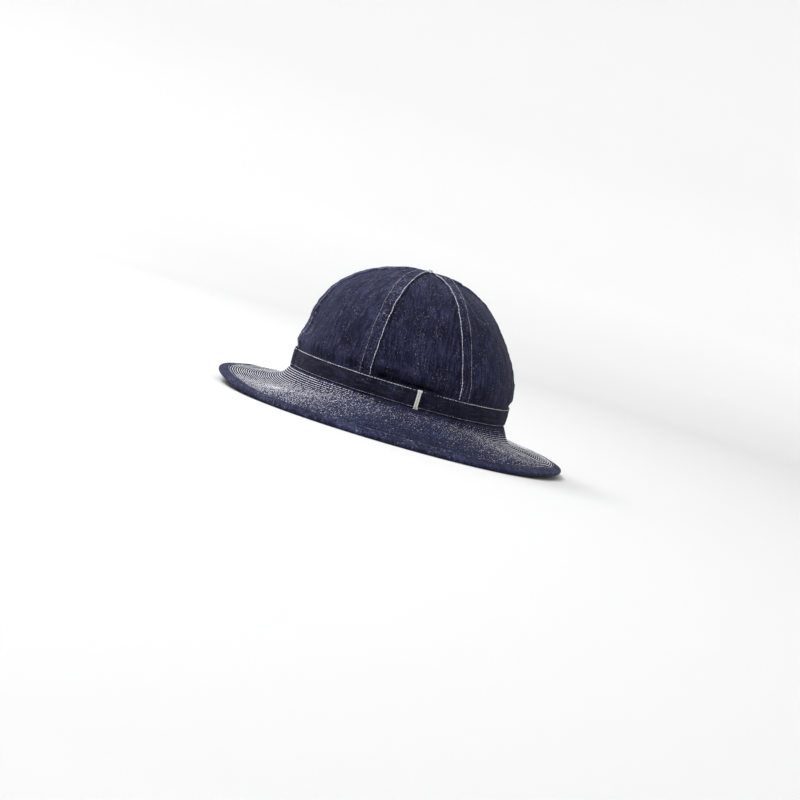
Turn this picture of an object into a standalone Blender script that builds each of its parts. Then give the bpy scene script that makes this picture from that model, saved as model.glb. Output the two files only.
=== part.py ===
"""Denim hat with a six-panel crown and a wide stitched brim, at real size in metres.

The front of the hat faces -Y and the wearer's left is +X. The hat rests by itself on the two
sides of its brim, at z = 0, with its box centred on the origin.
"""
import math

import bmesh
import bpy
import numpy as np

# Head opening, inside the foot of the crown
HEAD_LENGTH = 0.2020
HEAD_WIDTH = 0.1700
FOOT_HEIGHT = 0.0308       # top of the brim's inner margin above the surface

# Gap that is kept between neighbouring pieces
CLEARANCE = 0.0003

# Crown
CROWN_HEIGHT = 0.1182      # foot to top, outside
CROWN_CLOTH = 0.0012
LAP_STRIP = 0.0116         # raised part of a lapped seam
LAP_RAMP = 0.0030          # slope that brings the cloth up over its neighbour
LAP_FULL = 0.0240          # distance from the top where a lap has its full width
LAP_COVERS = 0.0090        # distance from the top where it covers its neighbour fully
LAP_ENDS = 0.0050          # distance from the top where it no longer covers it
POINT_RADIUS = 0.0015      # ring on which the points of the panels end
PANEL_FLATNESS = 0.012     # how much a panel flattens between its seams, share of its radius
DENTS_BELOW = 0.0020       # the dents begin this far down behind the band
DENTS_RISE = 0.0025        # rise over which they reach their full depth
DENTS_BESIDE = 0.0045      # width beside a lapped seam over which they do

# Band and its loop
BAND_HEIGHT = 0.0174
BAND_CLOTH = 0.0012
BAND_EASE = 0.0005         # gap between the crown and the band
BAND_LAP = 0.0120
BAND_LAP_AT = 0.262        # end of the band, share of the way round from the front
LOOP_WIDTH = 0.0034
LOOP_LENGTH = 0.0178
LOOP_BELOW = 0.0006        # how far the loop reaches below the band
LOOP_CLOTH = 0.0010
LOOP_FROM_END = 0.0048     # middle of the loop to the end of the band
LOOP_BOW = 0.0006          # how far the middle of the loop stands off

# Brim and its binding
BRIM_REACH = 0.0640        # from the band out to the edge, measured level
BRIM_CLOTH = 0.0018
BRIM_HEM = 0.0010          # thickness of the brim inside the binding
HEM_TAPER = 0.0020
BINDING_WIDTH = 0.0100
BINDING_CLOTH = 0.0011
BINDING_FOLD = 0.0012      # rounding at the folded edge
REST_FOLD = 0.0016         # where the fold is pressed flat underneath
REST_BLEND = 0.0006        # rise of the edge over which that flat fades out

# Steps of the meshes
PANEL_COLUMNS = 9
PANEL_CROWDING = 0.08      # how far the columns of a panel crowd towards its seams
BRIM_COLUMNS = 72
LOOP_ROWS = 5

# Crown wall from foot to top: height as a share of CROWN_HEIGHT, and reach at the front, side
# and rear as a share of the crown's half length or half width at its foot. Forward is how far the
# crown has leaned to the front there, as a share of that half length
CROWN_PROFILE = (
    # height, front, side, rear, forward
    (0.000, 1.000, 1.000, 1.000, 0.000),
    (0.150, 1.000, 1.000, 1.000, 0.000),
    (0.220, 1.014, 1.016, 1.018, 0.000),
    (0.350, 0.972, 1.012, 0.990, 0.000),
    (0.500, 0.955, 0.980, 0.912, 0.002),
    (0.600, 0.908, 0.938, 0.828, 0.004),
    (0.670, 0.857, 0.897, 0.768, 0.008),
    (0.770, 0.742, 0.808, 0.673, 0.014),
    (0.860, 0.585, 0.685, 0.558, 0.021),
    (0.930, 0.409, 0.520, 0.426, 0.029),
    (0.980, 0.221, 0.310, 0.256, 0.036),
    (1.000, 0.015, 0.015, 0.015, 0.040),
)
# Rows of the crown mesh between the band and the laps' ends, as shares of the wall's length
CROWN_ROWS = (0.112, 0.128, 0.145, 0.175, 0.25, 0.33, 0.41, 0.49, 0.57, 0.65, 0.73, 0.80, 0.86)

# Soft dents (negative) and swells of the crown: place and spread, depth as a share of HEAD_WIDTH
CROWN_DENTS = (
    # around in degrees, up the wall, spread in degrees, spread up the wall, depth
    (72.0, 0.114, 16.0, 0.024, -0.056),
    (92.0, 0.106, 12.0, 0.012, -0.036),
    (74.0, 0.162, 16.0, 0.022, 0.020),
    (104.0, 0.240, 9.0, 0.100, 0.006),
    (88.0, 0.300, 6.0, 0.120, -0.006),
    (20.0, 0.330, 14.0, 0.080, -0.010),
    (318.0, 0.300, 16.0, 0.090, -0.009),
    (232.0, 0.220, 18.0, 0.060, 0.010),
    (140.0, 0.500, 14.0, 0.100, 0.005),
)

# Edge of the brim: reach as a share of BRIM_REACH, rise as a share of FOOT_HEIGHT
BRIM_EDGE = (
    # around in degrees, reach, rise
    (0.0, 1.006, 0.260),
    (30.0, 0.988, 0.050),
    (60.0, 0.940, 0.000),
    (90.0, 0.906, 0.000),
    (120.0, 0.940, 0.000),
    (150.0, 0.985, 0.110),
    (180.0, 1.000, 0.155),
    (210.0, 0.985, 0.140),
    (240.0, 0.940, 0.000),
    (270.0, 0.906, 0.000),
    (300.0, 0.940, 0.000),
    (330.0, 0.988, 0.310),
)
# Fall of the brim from the band to its edge, as shares of the whole fall there
BRIM_FALL = (
    # across, front, side, rear
    (0.00, 0.000, 0.000, 0.000),
    (0.10, 0.470, 0.080, 0.510),
    (0.25, 0.720, 0.200, 0.680),
    (0.50, 0.820, 0.420, 0.745),
    (0.75, 0.885, 0.680, 0.825),
    (1.00, 1.000, 1.000, 1.000),
)
# Rows of the brim mesh between the band and the binding, as shares of its reach
BRIM_ROWS = (0.08, 0.20, 0.35, 0.50, 0.65)

# Panels in order round the head from the front seam. Each begins at its own seam, given by its
# share of the way round at the foot and how many degrees it has leaned half way up, and ends at
# the next panel's. An edge laps over its neighbour or lies under it
CROWN_PANELS = (
    # name, way round, lean, edge at its own seam, edge at the next
    ("crown_front_left", 0.000, 0.0, "over", "over"),
    ("crown_side_left", 0.167, 0.0, "under", "under"),
    ("crown_rear_left", 0.328, -7.0, "over", "over"),
    ("crown_rear_right", 0.500, 0.0, "under", "over"),
    ("crown_side_right", 0.672, 7.0, "under", "under"),
    ("crown_front_right", 0.833, 0.0, "over", "under"),
)

HALF_LENGTH = HEAD_LENGTH / 2 + CROWN_CLOTH
HALF_WIDTH = HEAD_WIDTH / 2 + CROWN_CLOTH
BAND_OFFSET = BAND_EASE + BAND_CLOTH
LAP_LIFT = CROWN_CLOTH + CLEARANCE
BAND_LAP_LIFT = BAND_CLOTH + CLEARANCE
BAND_TOP = BAND_HEIGHT + CLEARANCE
BINDING_HALF = BRIM_HEM / 2 + CLEARANCE + BINDING_CLOTH
EDGE_HEIGHT = BINDING_HALF / 2         # middle of the edge above the surface, where it rests
STEP = 1e-4                # small step for slopes
ACROSS = np.linspace(0.0, 1.0, 41)


def smooth_table(rows, at):
    """Smooth curve through a table's rows; it keeps level stretches level."""
    table = np.asarray(rows, dtype=float)
    place, value = table[:, 0], table[:, 1:]
    span = np.diff(place)
    rise = np.diff(value, axis=0) / span[:, None]
    slope = np.empty_like(value)
    slope[0], slope[-1] = rise[0], rise[-1]
    weight = (span[1:] / (span[:-1] + span[1:]))[:, None]
    level = rise[:-1] * rise[1:] <= 0
    slope[1:-1] = np.where(level, 0.0, rise[:-1] * weight + rise[1:] * (1 - weight))
    at = np.clip(at, place[0], place[-1])
    row = int(np.clip(np.searchsorted(place, at, side="right") - 1, 0, len(span) - 1))
    x = (at - place[row]) / span[row]
    return (value[row] * (1 + 2 * x) * (1 - x) ** 2 + value[row + 1] * x * x * (3 - 2 * x)
            + span[row] * (slope[row] * x * (1 - x) ** 2 - slope[row + 1] * x * x * (1 - x)))


def round_table(rows, degrees):
    """The same for a table that runs right round the hat in degrees."""
    before = [(row[0] - 360.0, *row[1:]) for row in rows[-2:]]
    after = [(row[0] + 360.0, *row[1:]) for row in rows[:2]]
    return smooth_table((*before, *rows, *after), degrees % 360.0)


def front_side_rear(angle, front, side, rear):
    """Mix of three values by the way round: 0 at the front, pi at the rear."""
    along = math.cos(angle)
    ahead, behind = max(along, 0.0) ** 2, max(-along, 0.0) ** 2
    return front * ahead + side * math.sin(angle) ** 2 + rear * behind


def length_of(points):
    """Running length along a row of points."""
    return np.concatenate(([0.0], np.cumsum(np.linalg.norm(np.diff(points, axis=0), axis=1))))


def oval(angle, grow=0.0):
    """Point on the outside of the crown's foot, moved outwards by grow, level."""
    point = np.array((HALF_WIDTH * math.sin(angle), -HALF_LENGTH * math.cos(angle), 0.0))
    return point + grow * oval_outward(angle)


def oval_outward(angle):
    outward = np.array((math.sin(angle) / HALF_WIDTH, -math.cos(angle) / HALF_LENGTH, 0.0))
    return outward / np.linalg.norm(outward)


OVAL_ANGLES = np.linspace(0.0, 2 * math.pi, 721)
OVAL_LENGTHS = length_of(np.array([oval(a) for a in OVAL_ANGLES]))
GIRTH = float(OVAL_LENGTHS[-1])


def angle_at(girth):
    """Angle of the point that lies this far round the foot from the front."""
    turns = math.floor(girth / GIRTH)
    return turns * 2 * math.pi + float(np.interp(girth - turns * GIRTH, OVAL_LENGTHS, OVAL_ANGLES))


SEAM_STARTS = [angle_at(GIRTH * row[1]) for row in CROWN_PANELS]
SEAM_LEANS = [math.radians(row[2]) for row in CROWN_PANELS]

# Length up the crown wall at each row of the profile, from its mean outline
MEAN_RADIUS = (HALF_LENGTH + HALF_WIDTH) / 2
PROFILE_POINTS = [(row[0] * CROWN_HEIGHT, row[2] * MEAN_RADIUS) for row in CROWN_PROFILE]
PROFILE_LENGTHS = length_of(np.array(PROFILE_POINTS))
WALL_LENGTH = float(PROFILE_LENGTHS[-1])
WALL_ROWS = [(length, *row) for length, row in zip(PROFILE_LENGTHS, CROWN_PROFILE)]


def seams_at(along):
    """Angles of all the seams at a length up the wall, the first repeated a turn on."""
    bare = max(along - BAND_TOP, 0.0) / (WALL_LENGTH - BAND_TOP)
    lean = math.sin(math.pi * bare)
    angles = [start + full * lean for start, full in zip(SEAM_STARTS, SEAM_LEANS)]
    return angles + [angles[0] + 2 * math.pi]


def dent(angle, up):
    """Sum of the soft dents and swells at a place on the crown."""
    depth = 0.0
    for around, rise, spread, tall, amount in CROWN_DENTS:
        turn = (math.degrees(angle) - around + 180.0) % 360.0 - 180.0
        depth += amount * HEAD_WIDTH * math.exp(-(turn / spread) ** 2 - ((up - rise) / tall) ** 2)
    return depth


def loose_cloth(angle, along):
    """Share of the dents that shows, none of them at the band or on a stiff seam."""
    turn = angle % (2 * math.pi)
    beside = min(abs(turn - seam) for seam in seams_at(along)) * MEAN_RADIUS
    from_seam = (beside - LAP_STRIP / 2 - LAP_RAMP / 4) / DENTS_BESIDE
    from_seam = min(max(from_seam, 0.0), 1.0)
    from_band = min(max((along - BAND_TOP + DENTS_BELOW) / DENTS_RISE, 0.0), 1.0)
    return from_band * from_seam * from_seam * (3 - 2 * from_seam)


def crown_point(angle, along):
    """Outside of the crown, laps left out, at a length along the wall from its foot."""
    height, front, side, rear, forward = smooth_table(WALL_ROWS, along)
    up = along / WALL_LENGTH
    seams = seams_at(along)
    across = np.interp(angle % (2 * math.pi), seams, range(len(seams)))
    free = min(max(along / BAND_TOP - 1, 0.0), 1.0)
    share = front_side_rear(angle, front, side, rear)
    share *= 1 - PANEL_FLATNESS * free * math.sin(math.pi * up) * math.sin(math.pi * across) ** 2
    share += loose_cloth(angle, along) * dent(angle, up) / HALF_WIDTH
    place = oval(angle) * share
    place[1] -= forward * HALF_LENGTH
    place[2] = FOOT_HEIGHT + CLEARANCE + height * CROWN_HEIGHT
    return place


def crown_frame(angle, along):
    """Point, outward direction and metres per radian on the crown."""
    below, above = max(along - STEP, 0.0), min(along + STEP, WALL_LENGTH)
    round_it = (crown_point(angle + STEP, along) - crown_point(angle - STEP, along)) / (2 * STEP)
    outward = np.cross(round_it, crown_point(angle, above) - crown_point(angle, below))
    return crown_point(angle, along), outward / np.linalg.norm(outward), np.linalg.norm(round_it)


def seam_sizes(along):
    """Half strip, ramp, lift and hidden width of the laps at a length along the wall."""
    from_top = WALL_LENGTH - along + POINT_RADIUS
    wide = np.clip((from_top - LAP_ENDS) / (LAP_FULL - LAP_ENDS), 0.0, 1.0)
    strip = max(LAP_STRIP * wide, min(LAP_STRIP, from_top) / 6)
    hidden = strip * np.clip((from_top - LAP_ENDS) / (LAP_COVERS - LAP_ENDS), 0.0, 1.0)
    lift = LAP_LIFT * np.clip((from_top - POINT_RADIUS) / (LAP_ENDS - POINT_RADIUS), 0.0, 1.0)
    ramp = min(LAP_RAMP, from_top / 5)
    return strip / 2, ramp, lift, hidden


def edge_columns(kind, along):
    """Columns of a panel beside a seam: distance inwards from the seam line, and lift."""
    half, ramp, lift, hidden = seam_sizes(along)
    if kind == "over":
        return [(-half, lift), (half, lift), (half + ramp, 0.0)]
    edge = half + CLEARANCE - hidden
    return [(edge, 0.0), (half + CLEARANCE + ramp / 4, 0.0)]


def panel_row(place, first, second, along):
    """Closed outline of a panel at one height: outside from seam to seam, then inside back."""
    first_seam, second_seam = seams_at(along)[place:place + 2]
    starts = edge_columns(first, along)
    ends = edge_columns(second, along)
    first_rate = crown_frame(first_seam, along)[2]
    second_rate = crown_frame(second_seam, along)[2]
    columns = [(first_seam + inward / first_rate, lift) for inward, lift in starts]
    finish = [(second_seam - inward / second_rate, lift) for inward, lift in ends]
    low, high = columns[-1][0], finish[-1][0]
    for step in range(1, PANEL_COLUMNS - 1):
        share = step / (PANEL_COLUMNS - 1)
        share -= PANEL_CROWDING * math.sin(2 * math.pi * share)
        columns.append((low + (high - low) * share, 0.0))
    columns += reversed(finish)
    outside, inside = [], []
    for angle, lift in columns:
        point, outward, _ = crown_frame(angle, along)
        outside.append(point + outward * lift)
        inside.append(point + outward * (lift - CROWN_CLOTH))
    return outside + inside[::-1]


def crown_rows():
    """Lengths along the wall where the panels have a row."""
    rows = [0.0, BAND_TOP]
    rows += [share * WALL_LENGTH for share in CROWN_ROWS]
    rows += [WALL_LENGTH + POINT_RADIUS - stop for stop in (LAP_FULL, LAP_COVERS, LAP_ENDS)]
    return rows + [WALL_LENGTH]


def band_columns():
    """Columns of the band from its hidden end right round to its lapped end: girth and lift."""
    half, ramp, lift, _ = seam_sizes(0.0)
    columns = []
    reach = half + BAND_EASE
    stops = [(turn + row[1]) * GIRTH for turn in range(3) for row in CROWN_PANELS]
    for seam, after in zip(stops, stops[1:]):
        columns += [(seam - reach, lift), (seam + reach, lift)]
        free = np.linspace(seam + reach + ramp, after - reach - ramp, PANEL_COLUMNS)
        columns += [(girth, 0.0) for girth in free]
    end = BAND_LAP_AT * GIRTH
    hidden_end = end - BAND_LAP
    raised = hidden_end - CLEARANCE + GIRTH
    keep = [c for c in columns if hidden_end + ramp < c[0] < raised - 2 * ramp]
    lapped = [(raised - ramp, 0.0), (raised, BAND_LAP_LIFT), (end + GIRTH, BAND_LAP_LIFT)]
    return [(hidden_end, 0.0), *keep, *lapped]


def band_section(girth, lift):
    """Upright section of the band at a place round the foot."""
    angle = angle_at(girth)
    inner, outer = BAND_EASE + lift, BAND_OFFSET + lift
    low = FOOT_HEIGHT + CLEARANCE
    high = low + BAND_HEIGHT
    section = []
    for grow, z in ((outer, low), (outer, high), (inner, high), (inner, low)):
        section.append(oval(angle, grow) + np.array((0.0, 0.0, z)))
    return section


def loop_sections():
    """Level sections of the loop from bottom to top, bowed out a little at its middle."""
    middle = BAND_LAP_AT * GIRTH - LOOP_FROM_END
    sides = [angle_at(middle - LOOP_WIDTH / 2), angle_at(middle + LOOP_WIDTH / 2)]
    back = BAND_OFFSET + BAND_LAP_LIFT + CLEARANCE
    low = FOOT_HEIGHT + CLEARANCE - LOOP_BELOW
    sections = []
    for row in range(LOOP_ROWS):
        up = row / (LOOP_ROWS - 1)
        bow = LOOP_BOW * math.sin(math.pi * up)
        height = np.array((0.0, 0.0, low + up * LOOP_LENGTH))
        corners = [(sides[0], LOOP_CLOTH), (sides[1], LOOP_CLOTH), (sides[1], 0.0), (sides[0], 0.0)]
        sections.append([oval(angle, back + bow + out) + height for angle, out in corners])
    return sections


def brim_point(angle, across):
    """Middle layer of the brim: across is 0 at the band and 1 at the edge."""
    reach, rise = round_table(BRIM_EDGE, math.degrees(angle))
    fall = front_side_rear(angle, *smooth_table(BRIM_FALL, across))
    top = FOOT_HEIGHT - BRIM_CLOTH / 2
    edge = EDGE_HEIGHT + rise * FOOT_HEIGHT
    level = oval(angle, BAND_OFFSET + reach * BRIM_REACH * across)
    return level + np.array((0.0, 0.0, top + (edge - top) * fall))


def brim_frame(angle, across):
    """Point and upward direction on the middle layer of the brim."""
    inner, outer = max(across - STEP, 0.0), min(across + STEP, 1.0)
    outward = brim_point(angle, outer) - brim_point(angle, inner)
    round_it = brim_point(angle + STEP, across) - brim_point(angle - STEP, across)
    upward = np.cross(outward, round_it)
    return brim_point(angle, across), upward / np.linalg.norm(upward)


def brim_column(angle):
    """Function from a distance inwards from the brim's edge, along the cloth, to across."""
    lengths = length_of(np.array([brim_point(angle, across) for across in ACROSS]))
    return lambda inwards: float(np.interp(lengths[-1] - inwards, lengths, ACROSS))


def brim_section(angle):
    """Section of the brim at one angle: top from the head out, then underside back."""
    across_at = brim_column(angle)
    flat = [(oval(angle, -CROWN_CLOTH), BRIM_CLOTH), (oval(angle, BAND_OFFSET), BRIM_CLOTH)]
    height = np.array((0.0, 0.0, FOOT_HEIGHT - BRIM_CLOTH / 2))
    layers = [(point + height, np.array((0.0, 0.0, 1.0)), thick / 2) for point, thick in flat]
    for across in BRIM_ROWS:
        layers.append((*brim_frame(angle, across), BRIM_CLOTH / 2))
    layers.append((*brim_frame(angle, across_at(BINDING_WIDTH + HEM_TAPER)), BRIM_CLOTH / 2))
    hem_stops = (BINDING_WIDTH + CLEARANCE, BINDING_WIDTH / 2, BINDING_CLOTH + CLEARANCE)
    for inwards in hem_stops:
        layers.append((*brim_frame(angle, across_at(inwards)), BRIM_HEM / 2))
    top = [point + upward * half for point, upward, half in layers]
    under = [point - upward * half for point, upward, half in layers]
    return top + under[::-1]


def binding_section(angle):
    """Section of the binding at one angle: folded over the edge, pressed flat where it rests."""
    across_at = brim_column(angle)
    out, room = BINDING_HALF, BRIM_HEM / 2 + CLEARANCE
    outline = (
        # distance in from the edge, height over the middle layer
        (BINDING_WIDTH, out),
        (BINDING_WIDTH / 2, out),
        (BINDING_FOLD, out),
        (0.0, out / 2),
        (0.0, -out / 2),
        (REST_FOLD, -out),
        (BINDING_WIDTH / 2, -out),
        (BINDING_WIDTH, -out),
        (BINDING_WIDTH, -room),
        (BINDING_WIDTH / 2, -room),
        (BINDING_CLOTH, -room),
        (BINDING_CLOTH, room),
        (BINDING_WIDTH / 2, room),
        (BINDING_WIDTH, room),
    )
    pressed = 1 - min(round_table(BRIM_EDGE, math.degrees(angle))[1] * FOOT_HEIGHT / REST_BLEND, 1.0)
    section = []
    for place, (inwards, over) in enumerate(outline):
        point, upward = brim_frame(angle, across_at(inwards))
        point = point + upward * over
        if place in (4, 5):
            point[2] *= 1 - max(pressed, 0.0)
        section.append(point)
    return section


def plain_material(name, colour, roughness):
    material = bpy.data.materials.new(name)
    material.use_nodes = True
    shader = material.node_tree.nodes["Principled BSDF"]
    shader.inputs["Base Color"].default_value = (*colour, 1.0)
    shader.inputs["Roughness"].default_value = roughness
    shader.inputs["Metallic"].default_value = 0.0
    material.diffuse_color = (*colour, 1.0)
    return material


def loft(name, sections, material, closed=False):
    """Solid through closed sections of equal count; an open one is capped, pair by pair."""
    count = len(sections[0])
    mesh = bpy.data.meshes.new(name)
    body = bmesh.new()
    rings = [[body.verts.new(point) for point in section] for section in sections]
    pairs = list(zip(rings, rings[1:]))
    if closed:
        pairs.append((rings[-1], rings[0]))
    for near, far in pairs:
        for k in range(count):
            after = (k + 1) % count
            body.faces.new((near[k], near[after], far[after], far[k]))
    if not closed:
        for ring in (rings[0], rings[-1]):
            for k in range(count // 2 - 1):
                body.faces.new((ring[k], ring[k + 1], ring[count - 2 - k], ring[count - 1 - k]))
    bmesh.ops.recalc_face_normals(body, faces=body.faces)
    body.to_mesh(mesh)
    body.free()
    mesh.materials.append(material)
    mesh.shade_smooth()
    mesh.set_sharp_from_angle(angle=math.radians(40))
    piece = bpy.data.objects.new(name, mesh)
    bpy.context.collection.objects.link(piece)
    return piece


def build_hat():
    denim = plain_material("indigo_denim", (0.034, 0.042, 0.100), 0.90)
    band_denim = plain_material("band_denim", (0.013, 0.015, 0.036), 0.90)
    brim_denim = plain_material("stitched_denim", (0.110, 0.120, 0.200), 0.88)
    binding_denim = plain_material("binding_denim", (0.020, 0.024, 0.060), 0.90)
    tape = plain_material("cotton_tape", (0.780, 0.760, 0.700), 0.80)

    rows = crown_rows()
    for place, (name, _, _, first, second) in enumerate(CROWN_PANELS):
        loft(name, [panel_row(place, first, second, along) for along in rows], denim)

    loft("hat_band", [band_section(*column) for column in band_columns()], band_denim)
    loft("band_loop", loop_sections(), tape)

    angles = [2 * math.pi * n / BRIM_COLUMNS for n in range(BRIM_COLUMNS)]
    loft("brim", [brim_section(angle) for angle in angles], brim_denim, closed=True)
    loft("brim_binding", [binding_section(angle) for angle in angles], binding_denim, closed=True)


for leftover in list(bpy.data.objects):
    bpy.data.objects.remove(leftover, do_unlink=True)
build_hat()
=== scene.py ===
"""Denim hat with a six-panel crown, a band and a stitched brim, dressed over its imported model."""

from math import cos, pi, radians, sin

import bpy
import numpy as np
from mathutils import Matrix, Vector


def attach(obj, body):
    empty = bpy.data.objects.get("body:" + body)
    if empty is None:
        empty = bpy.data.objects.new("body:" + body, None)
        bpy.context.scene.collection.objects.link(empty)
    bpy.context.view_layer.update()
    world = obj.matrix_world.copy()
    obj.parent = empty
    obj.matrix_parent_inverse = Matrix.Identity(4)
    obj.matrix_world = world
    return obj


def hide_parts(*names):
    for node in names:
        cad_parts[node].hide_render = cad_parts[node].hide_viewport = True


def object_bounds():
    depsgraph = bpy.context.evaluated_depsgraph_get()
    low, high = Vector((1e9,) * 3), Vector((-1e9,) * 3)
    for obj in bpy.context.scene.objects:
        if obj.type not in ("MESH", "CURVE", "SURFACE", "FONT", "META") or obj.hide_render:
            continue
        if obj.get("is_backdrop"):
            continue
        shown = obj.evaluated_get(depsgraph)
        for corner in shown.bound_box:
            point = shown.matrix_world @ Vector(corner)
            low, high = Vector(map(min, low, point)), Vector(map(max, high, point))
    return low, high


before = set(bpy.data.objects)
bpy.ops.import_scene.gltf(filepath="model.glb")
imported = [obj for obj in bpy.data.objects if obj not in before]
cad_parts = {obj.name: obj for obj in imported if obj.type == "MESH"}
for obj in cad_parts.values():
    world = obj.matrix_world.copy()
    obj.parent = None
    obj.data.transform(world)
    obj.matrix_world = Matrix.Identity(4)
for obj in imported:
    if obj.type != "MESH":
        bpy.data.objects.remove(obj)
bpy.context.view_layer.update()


# Camera: a long lens from the wearer's left, a little in front of the hat's middle and just
# above the brim. The hat was photographed with its front raised, so the camera is rolled
view_middle = Vector((0.0, 0.0, 0.060))
view_distance = 2.0
view_round = radians(-10.0)  # from +X towards the front
view_height = radians(4.0)
view_roll = radians(16.62)
view_right_mm, view_up_mm = 6.3, 32.3  # where the middle lies from the centre of the picture

view_back = Vector((cos(view_height) * cos(view_round), cos(view_height) * sin(view_round),
                    sin(view_height)))
level_right = Vector((-sin(view_round), cos(view_round), 0.0))
level_up = view_back.cross(level_right)
view_right = level_right * cos(view_roll) + level_up * sin(view_roll)
view_up = level_up * cos(view_roll) - level_right * sin(view_roll)
eye = view_middle + view_back * view_distance
aim = view_middle - view_right * view_right_mm / 1000 - view_up * view_up_mm / 1000
back = (eye - aim).normalized()
right = view_up.cross(back).normalized()
up = back.cross(right)


def add_object(name, data):
    """New object of the scene, at the origin."""
    made = bpy.data.objects.new(name, data)
    bpy.context.scene.collection.objects.link(made)
    return made


camera = add_object("camera", bpy.data.cameras.new("camera"))
camera.data.sensor_width = 36.0
camera.data.lens = 96.0
camera.data.clip_start = 0.1
camera.matrix_world = Matrix.Translation(eye) @ Matrix((right, up, back)).transposed().to_4x4()
bpy.context.scene.camera = camera


# Crown panels: six gores of unwashed indigo denim, cut with the warp up their middle. Each seam
# is a flat lap, one gore's folded edge sewn over its neighbour, and they all meet at the top
half_length, half_width = 0.1022, 0.0862  # outside of the crown at its foot
head_width = 0.170  # inside it; the dents are shares of this
crown_foot = 0.0311
crown_height = 0.1182
crown_cloth = 0.0012
clearance = 0.0003  # gap between sewn cloths
lap_lift = 0.0015
lap_ramp = 0.0030
lap_strip = 0.0116
lap_full, lap_covers, lap_ends = 0.0240, 0.0090, 0.0050  # distances from the top
lap_margin = 0.0015  # they are measured from so far past it
point_radius = 0.0004  # panels and rows stop so far from it
panel_flatness = 0.012
band_top = 0.0177  # bare cloth starts here, up the wall
dents_below, dents_rise = 0.0020, 0.0025  # the dents start so far below it and deepen over this
dents_beside = 0.0045
panel_columns, panel_rows = 64, 140
panel_shift = 0.3  # so no two panels show the same part of the pattern
pucker_height, pucker_size, pucker_reach = 0.00030, 0.0085, 0.0065
pucker_waning, pucker_fade = 0.030, 0.020
roping_height, roping_step, roping_slant = 0.00016, 0.0044, 0.013
crown_waves = ((0.0007, 0.050, 7), (0.00022, 0.016, 8))  # heights, sizes and seeds
crown_cockle = (0.00008, 0.0060, 9)
crown_profile = (
    # height, reach at the front, side and rear, lean to the front
    (0.000, 1.000, 1.000, 1.000, 0.000),
    (0.150, 1.000, 1.000, 1.000, 0.000),
    (0.220, 1.014, 1.016, 1.018, 0.000),
    (0.350, 0.972, 1.012, 0.990, 0.000),
    (0.500, 0.955, 0.980, 0.912, 0.002),
    (0.600, 0.908, 0.938, 0.828, 0.004),
    (0.670, 0.857, 0.897, 0.768, 0.008),
    (0.770, 0.742, 0.808, 0.673, 0.014),
    (0.860, 0.585, 0.685, 0.558, 0.021),
    (0.930, 0.409, 0.520, 0.426, 0.029),
    (0.980, 0.221, 0.310, 0.256, 0.036),
    (1.000, 0.002, 0.002, 0.002, 0.040),
)
crown_dents = (
    # around in degrees, share of the way up, spread of each, depth as a share of the width
    (72.0, 0.114, 16.0, 0.024, -0.056),
    (92.0, 0.106, 12.0, 0.012, -0.036),
    (74.0, 0.162, 16.0, 0.022, 0.020),
    (104.0, 0.240, 9.0, 0.100, 0.006),
    (88.0, 0.300, 6.0, 0.120, -0.006),
    (20.0, 0.330, 14.0, 0.080, -0.010),
    (318.0, 0.300, 16.0, 0.090, -0.009),
    (232.0, 0.220, 18.0, 0.060, 0.010),
    (140.0, 0.500, 14.0, 0.100, 0.005),
)
crown_seams = (
    # share of the way round, lean in degrees, whose gore laps over (1 is the next one's), next gore
    (0.000, 0.0, 1, "crown_front_left"),
    (0.167, 0.0, -1, "crown_side_left"),
    (0.328, -7.0, 1, "crown_rear_left"),
    (0.500, 0.0, -1, "crown_rear_right"),
    (0.672, 7.0, -1, "crown_side_right"),
    (0.833, 0.0, 1, "crown_front_right"),
)


def smooth_curve(table, at):
    """Smooth curves through a table's rows; they keep level stretches level."""
    table = np.asarray(table, dtype=float)
    place, value = table[:, 0], table[:, 1:]
    span = np.diff(place)
    rise = np.diff(value, axis=0) / span[:, None]
    weight = (span[1:] / (span[:-1] + span[1:]))[:, None]
    middle = np.where(rise[:-1] * rise[1:] <= 0, 0.0, rise[:-1] * weight + rise[1:] * (1 - weight))
    slope = np.vstack((rise[:1], middle, rise[-1:]))
    at = np.clip(at, place[0], place[-1])
    row = np.clip(np.searchsorted(place, at, side="right") - 1, 0, len(span) - 1)
    wide = span[row][..., None]
    x = ((at - place[row]) / span[row])[..., None]
    return (value[row] * (1 + 2 * x) * (1 - x) ** 2 + value[row + 1] * x * x * (3 - 2 * x)
            + wide * (slope[row] * x * (1 - x) ** 2 - slope[row + 1] * x * x * (1 - x)))


def length_along(points):
    """Running length along a row of points."""
    return np.concatenate(([0.0], np.cumsum(np.linalg.norm(np.diff(points, axis=0), axis=1))))


def unit(vectors):
    """Vectors brought to length 1."""
    return vectors / np.linalg.norm(vectors, axis=-1, keepdims=True)


def ease(x):
    """From 0 to 1 and level at both ends."""
    x = np.clip(x, 0.0, 1.0)
    return x * x * (3 - 2 * x)


def front_side_rear(angle, front, side, rear):
    """Mix of three values by the way round: 0 at the front, pi at the rear."""
    ahead = np.maximum(np.cos(angle), 0.0) ** 2
    behind = np.maximum(-np.cos(angle), 0.0) ** 2
    return front * ahead + side * np.sin(angle) ** 2 + rear * behind


def joined(*values):
    """Arrays put side by side along a new last axis."""
    return np.stack(values, axis=-1)


def oval(angle, grow=0.0):
    """Points on the outside of the crown's foot, moved outwards by grow, level."""
    sine, cosine = np.sin(angle), np.cos(angle)
    outward = unit(joined(sine / half_width, -cosine / half_length, 0 * sine))
    foot = joined(sine * half_width, -cosine * half_length, 0 * sine)
    return foot + outward * np.broadcast_to(grow, sine.shape)[..., None]


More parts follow.
